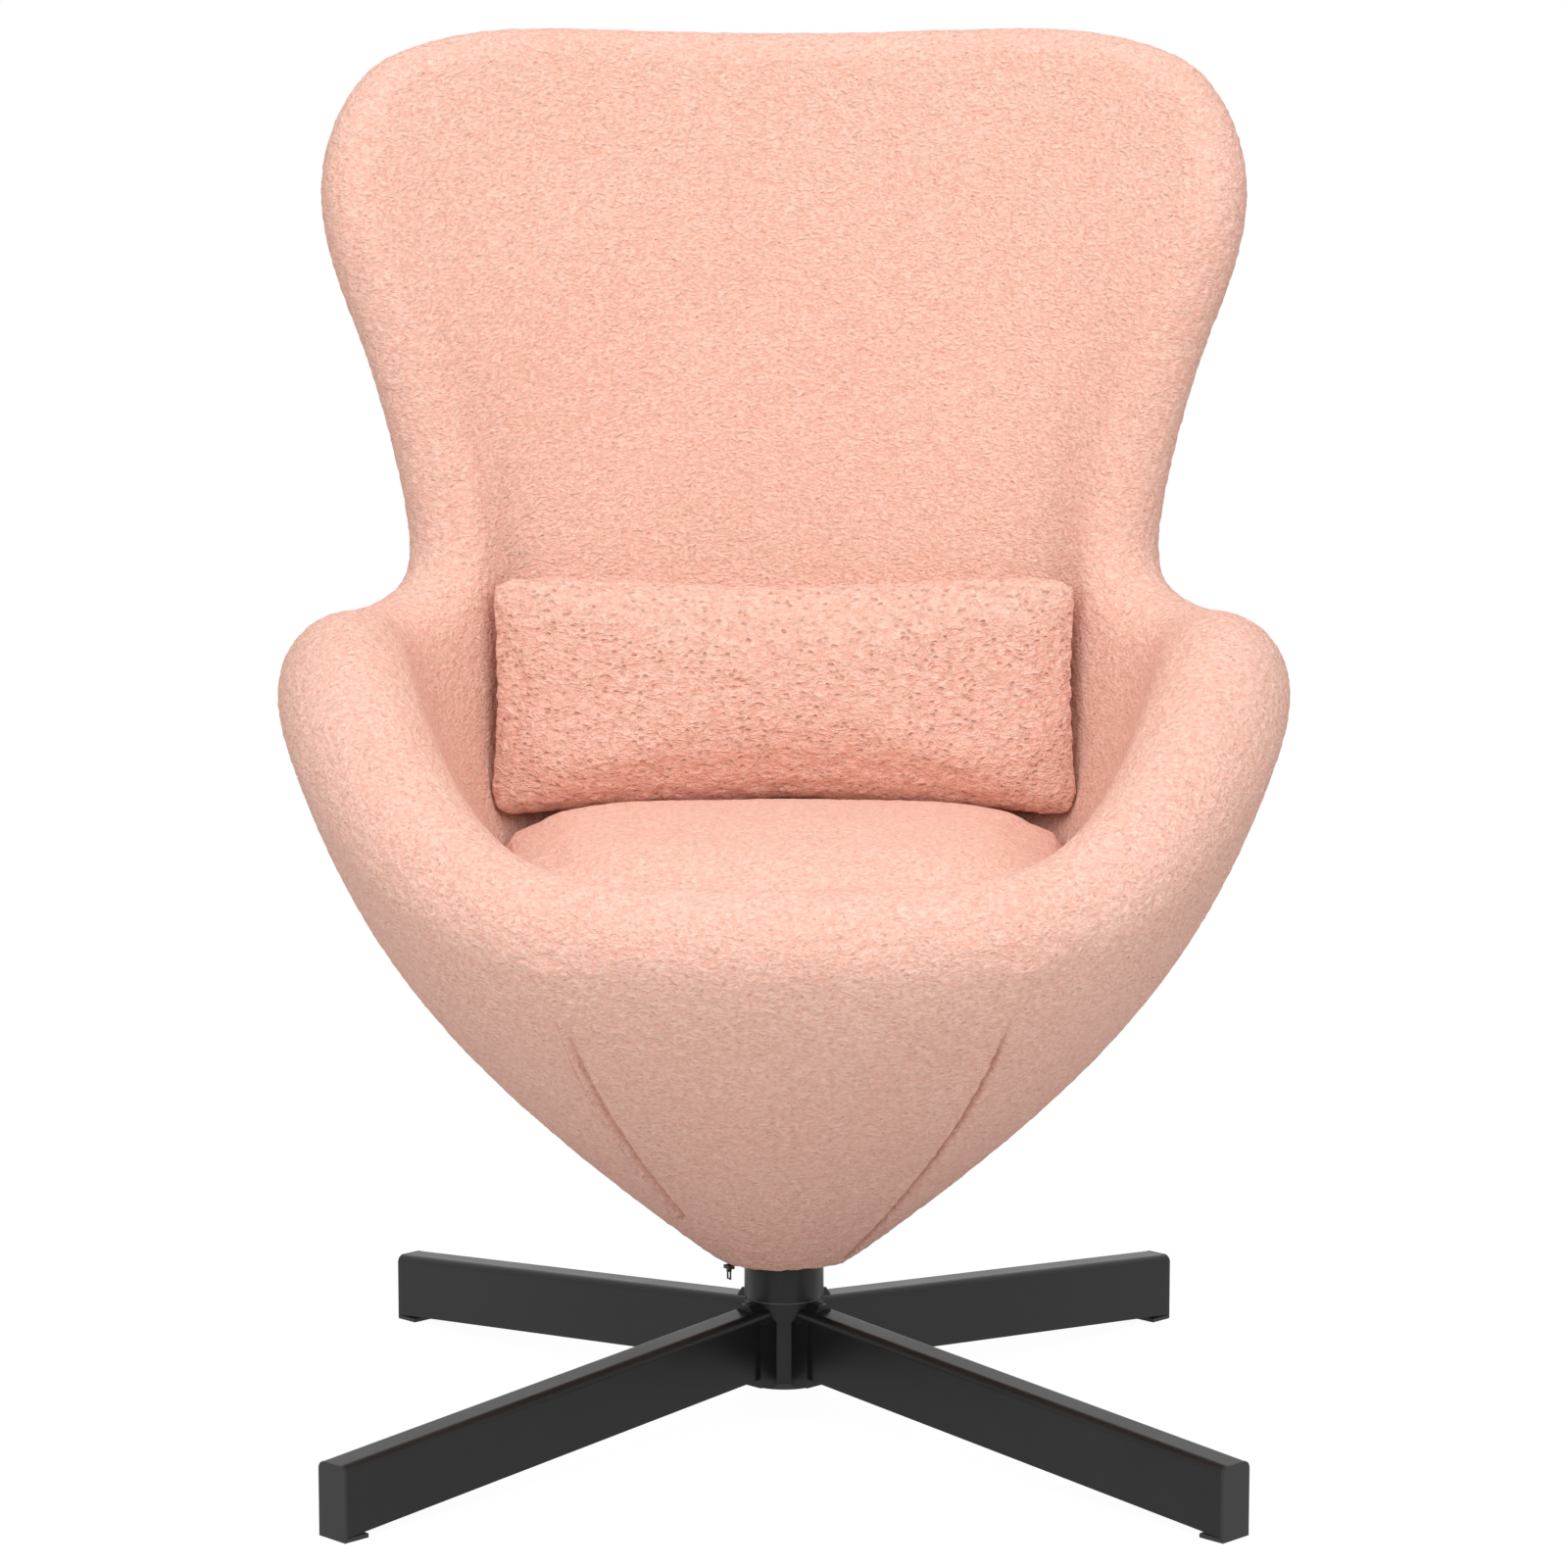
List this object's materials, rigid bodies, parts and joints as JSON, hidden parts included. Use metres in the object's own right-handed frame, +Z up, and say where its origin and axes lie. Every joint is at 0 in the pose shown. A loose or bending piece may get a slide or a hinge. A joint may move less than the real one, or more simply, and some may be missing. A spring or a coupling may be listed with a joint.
{
  "type": "pod chair",
  "caption": "Upholstered pod chair with winged back, rolled rim, loose seat cushion and lumbar pillow, swivelling on a splayed tube base.",
  "frame": {"origin": "the swivel axis at the floor", "axes": "+Z up, -Y the way the sitter faces, +X the sitter's left"},
  "size_m": [0.7464, 0.6693, 1.0528],
  "materials": {
    "black_paint": "satin black powder coat",
    "black_plastic": "matt black moulded plastic",
    "steel": "bright zinc plate",
    "bush_plastic": "dark self-lubricating plastic",
    "plywood": "raw plywood",
    "shell_plastic": "moulded glass-filled shell",
    "boucle_fabric": "peach pink fine-nubbed boucle",
    "pillow_fabric": "peach pink boucle with coarser loops",
    "foam": "open-cell foam",
    "filling": "fibre filling"
  },
  "bodies": {
    "base": {"base_hub": "black_paint", "leg_front_right": "black_paint", "leg_rear_right": "black_paint", "leg_rear_left": "black_paint", "leg_front_left": "black_paint", "foot_front_right": "black_plastic", "foot_rear_right": "black_plastic", "foot_rear_left": "black_plastic", "foot_front_left": "black_plastic", "leg_screws": "steel", "hub_bottom_disc": "black_plastic", "upper_bush": "bush_plastic", "lower_bush": "bush_plastic", "thrust_washer": "bush_plastic"},
    "bowl": {"swivel_spindle": "steel", "spindle_clip": "steel", "column_sleeve": "black_paint", "seat_plate": "steel", "plate_bolts": "steel", "tee_nuts": "steel", "seat_board": "plywood", "bottom_trim_ring": "black_plastic", "inner_upholstery": "boucle_fabric", "seat_shell": "shell_plastic", "front_panel": "boucle_fabric", "outer_upholstery": "boucle_fabric", "zip_slider": "black_paint"},
    "cushion": {"seat_cushion": "boucle_fabric", "seat_cushion_foam": "foam"},
    "pillow": {"lumbar_pillow": "pillow_fabric", "lumbar_pillow_filling": "filling"},
    "puller": {"zip_puller": "black_paint"}
  },
  "joints": [
    {"name": "swivel", "type": "hinge", "parent": "base", "child": "bowl", "pos_m": [0, 0, 0.094], "axis": [0, 0, 1], "continuous": true},
    {"name": "cushion_lift", "type": "slide", "parent": "bowl", "child": "cushion", "axis": [0, -0.35, 0.9367], "range_m": [0, 0.15]},
    {"name": "pillow_lift", "type": "slide", "parent": "cushion", "child": "pillow", "axis": [0, -0.64, 0.7684], "range_m": [0, 0.2]},
    {"name": "puller_swing", "type": "hinge", "parent": "bowl", "child": "puller", "pos_m": [-0.04113, -0.0257, 0.1203], "axis": [0.5299, -0.848, 0], "range_deg": [-80, 80]}
  ]
}
